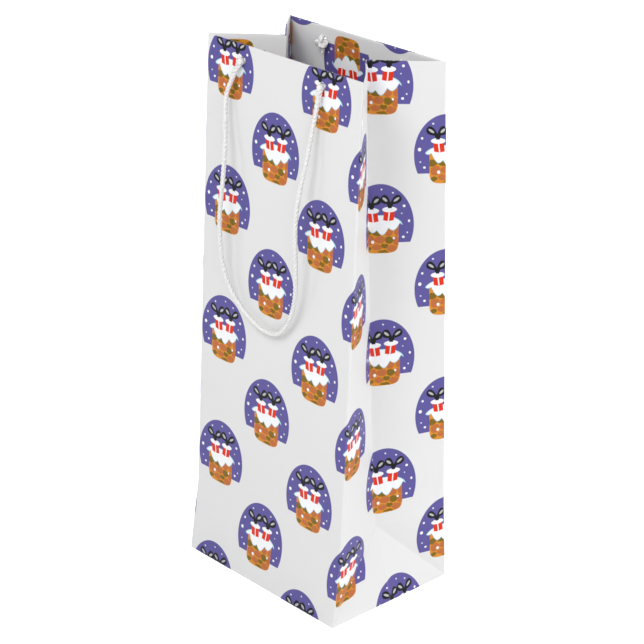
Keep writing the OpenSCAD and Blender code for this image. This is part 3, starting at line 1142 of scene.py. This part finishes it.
class GIFTBAG_OT_base(bpy.types.Operator):
    """Folds the feet and the base flaps, glues the seam tab, and finishes the base board and rim
    cards
    """

    bl_idname = "giftbag.base"
    bl_label = "Base"

    def execute(self, context):
        paper = context.scene.bag_paper
        outside, inside = shared("festive_print"), shared("sheet_reverse")
        for side, start in (("right", RIGHT_FOLD), ("left", SHEET_START)):
            bm = flat_patch(start, start + 2 * HALF_D, 0, HALF_D, paper.grid)
            score(bm, (start, 0), (-1, 1), cut=True)
            score(bm, (start + 2 * HALF_D, 0), (1, 1), cut=True)
            score(bm, (start + HALF_D, 0), (1, 0))

            def fold(u, v, start=start, side=side):
                x, y, z = foot_place(u - start, v)
                return Vector((x, y, z)) if side == "right" else Vector((-x, -y, z))

            piece = fold_piece(f"{side}_foot_sheet", bm, fold, paper, outside, inside)
            finished(piece, f"{side}_gusset_foot", "base")
        self.flaps(paper, outside, inside)
        self.seam(paper, inside)
        for node, finish in (
            ("base_board", "grey_board"), ("front_rim_card", "pressed_card"),
            ("rear_rim_card", "pressed_card"),
        ):
            mesh = frame["nodes"][node].data
            mesh.materials.clear()
            mesh.materials.append(shared(finish))
        return {"FINISHED"}

    @staticmethod
    def flaps(paper, outside, inside):
        """The front flap is outermost, the rear one steps up over it, the side ones are inside."""
        reach = HALF_D + FLAP_PAST
        slant = (FLAP_PAST / MM, -FLAP_CORNER / MM)
        for name, start in (("front", 0), ("rear", REAR_RIGHT_FOLD)):
            low, high = start + FLAP_EDGE, start + WIDTH - FLAP_EDGE
            bm = flat_patch(low, high, -reach, 0, 2 * paper.grid)
            score(bm, (start, -HALF_D), (-slant[0], slant[1]), cut=True)
            score(bm, (start + WIDTH, -HALF_D), slant, cut=True)
            for inward in STEP_LINES:
                score(bm, (0, -inward), (0, 1))

            def fold(u, v, start=start, name=name):
                step = 0 if name == "front" else ease((-v - STEP_START) / STEP_RUN)
                lift = FLAP_LAYER * step + FLOOR_GAP
                place = Vector((u - start - HALF_W, -v - HALF_D, lift))
                return place if name == "front" else Vector((-place.x, -place.y, place.z))

            piece = fold_piece(f"{name}_flap_sheet", bm, fold, paper, outside, inside)
            finished(piece, f"{name}_base_flap", "base")
        for side, start in (("right", RIGHT_FOLD), ("left", SHEET_START)):
            low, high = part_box(f"{side}_base_flap")
            deep = high.x - low.x
            bm = flat_patch(start, start + 2 * HALF_D, -deep, 0, 2 * paper.grid)
            slant = HALF_D - FLAP_PAST
            score(bm, (start, 0), (-deep, -slant), cut=True)
            score(bm, (start + 2 * HALF_D, 0), (deep, -slant), cut=True)
            height = SIDE_FLAP_LAYERS * FLAP_LAYER

            def fold(u, v, start=start, side=side):
                place = Vector((HALF_W - EDGE_GAP + v, u - start - HALF_D, height))
                return place if side == "right" else Vector((-place.x, -place.y, place.z))

            piece = fold_piece(f"{side}_flap_sheet", bm, fold, paper, inside, inside)
            finished(piece, f"{side}_base_flap", "base")

    @staticmethod
    def seam(paper, inside):
        """The strip past the sheet's last fold, glued inside the rear panel."""
        wide = TAB_HIGH.x - TAB_LOW.x
        start = REAR_LEFT_FOLD - (TAB_HIGH.x + HALF_W)
        bm = flat_patch(start, start + wide, TAB_LOW.z, TAB_HIGH.z, paper.grid)

        def fold(u, v):
            place = sheet_fold(paper, u, v)
            return place - Vector((0, paper.thickness + TAB_GAP, 0))

        piece = fold_piece("seam_tab_sheet", bm, fold, paper, inside, inside)
        finished(piece, "seam_tab", "rear_wall")


class GIFTBAG_OT_cords(bpy.types.Operator):
    """Twists the two cord handles and ties their knots inside the hem"""

    bl_idname = "giftbag.cords"
    bl_label = "Cord handles"

    def execute(self, context):
        cord = context.scene.bag_cord
        for name, route in (("front", FRONT_ROUTE), ("rear", REAR_ROUTE)):
            swing = SWINGS[f"{name}_swing"]
            cord_loop(f"{name}_cord_loop", f"{name}_cord", f"{name}_handle", route, swing, cord)
            for side, way in (("left", -1), ("right", 1)):
                node = f"{name}_{side}_knot"
                knotted_end(f"{node}_tied", node, f"{name}_wall", way, swing, cord)
        return {"FINISHED"}


# The soft lights: the setting with the power, the size and the place of each
SOFTBOXES = (
    ("key", 0.6, (-0.75, -1.25, 1.2)),
    ("side", 1.0, (1.35, -0.8, 0.9)),
    ("rear", 1.0, (1.3, 1.1, 0.9)),
    ("fill", 1.0, (-1.1, 1.4, 1.0)),
    ("lid", 0.7, (0.25, -1.05, 1.45)),
)


class GIFTBAG_OT_stage(bpy.types.Operator):
    """Lays the floor, hangs the soft lights and sets up the camera"""

    bl_idname = "giftbag.stage"
    bl_label = "Stage"

    def execute(self, context):
        scene = context.scene
        stage = scene.bag_stage
        scene.view_settings.view_transform = "Standard"
        bm = bmesh.new()
        bmesh.ops.create_circle(bm, cap_ends=True, segments=64, radius=4)
        bmesh.ops.translate(bm, vec=(0, 0, -0.3 * MM), verts=bm.verts)
        add_piece("studio_floor", bm, [floor_finish(stage)])

        world = bpy.data.worlds.new("soft_sky")
        world.use_nodes = True
        tree = world.node_tree
        sky = tree.nodes["Background"]
        sky.inputs["Color"].default_value = (1, 1, 1, 1)
        seen = tree.nodes.new("ShaderNodeLightPath").outputs["Is Camera Ray"]
        strength = tree.nodes.new("ShaderNodeMath")
        strength.operation = "MAXIMUM"
        strength.inputs[1].default_value = stage.sky
        tree.links.new(seen, strength.inputs[0])
        tree.links.new(strength.outputs[0], sky.inputs["Strength"])
        scene.world = world
        middle = Vector((0, 0, RIM / 2))
        for name, size, place in SOFTBOXES:
            self.softbox(f"{name}_light", getattr(stage, name), size, Vector(place), middle)

        back = Vector((
            math.sin(stage.azimuth) * math.cos(stage.elevation),
            -math.cos(stage.azimuth) * math.cos(stage.elevation),
            math.sin(stage.elevation),
        ))
        turn = (-back).to_track_quat("-Z", "Y").to_matrix().to_4x4()
        turn = turn @ Matrix.Rotation(stage.roll, 4, "Z")
        right, up = turn.col[0].xyz, turn.col[1].xyz
        place = middle + back * stage.distance + right * stage.aside + up * stage.lift
        camera = bpy.data.objects.new("camera", bpy.data.cameras.new("camera"))
        camera.data.lens = stage.lens
        camera.data.clip_end = 20
        camera.matrix_world = Matrix.Translation(place) @ turn
        scene.collection.objects.link(camera)
        scene.camera = camera
        return {"FINISHED"}

    @staticmethod
    def softbox(name, power, size, place, target):
        light = bpy.data.lights.new(name, "AREA")
        light.shape = "DISK"
        light.energy = power
        light.size = size
        lamp = bpy.data.objects.new(name, light)
        turn = (target - place).to_track_quat("-Z", "Y").to_matrix().to_4x4()
        lamp.matrix_world = Matrix.Translation(place) @ turn
        bpy.context.collection.objects.link(lamp)


class GIFTBAG_PT_panel(bpy.types.Panel):
    """Lists the bag's operators"""

    bl_idname = "GIFTBAG_PT_panel"
    bl_label = "Gift Bag"
    bl_space_type = "VIEW_3D"
    bl_region_type = "UI"
    bl_category = "Gift Bag"

    def draw(self, context):
        for operator in OPERATORS:
            self.layout.operator(operator.bl_idname)


OPERATORS = (
    GIFTBAG_OT_stage, GIFTBAG_OT_finishes, GIFTBAG_OT_cords, GIFTBAG_OT_panels,
    GIFTBAG_OT_gussets, GIFTBAG_OT_base,
)
SETTINGS = {
    "bag_paper": PaperSettings, "bag_print": PrintSettings, "bag_cord": CordSettings,
    "bag_stage": StageSettings,
}


def register():
    for cls in (*SETTINGS.values(), *OPERATORS, GIFTBAG_PT_panel):
        bpy.utils.register_class(cls)
    for name, cls in SETTINGS.items():
        setattr(bpy.types.Scene, name, PointerProperty(type=cls))


def unregister():
    for name in SETTINGS:
        delattr(bpy.types.Scene, name)
    for cls in (GIFTBAG_PT_panel, *reversed(OPERATORS), *reversed(SETTINGS.values())):
        bpy.utils.unregister_class(cls)


def main():
    register()
    bpy.ops.giftbag.stage()
    bpy.ops.giftbag.finishes()
    bpy.ops.giftbag.cords()
    bpy.ops.giftbag.panels()
    bpy.ops.giftbag.gussets()
    bpy.ops.giftbag.base()


if __name__ == "__main__":
    main()
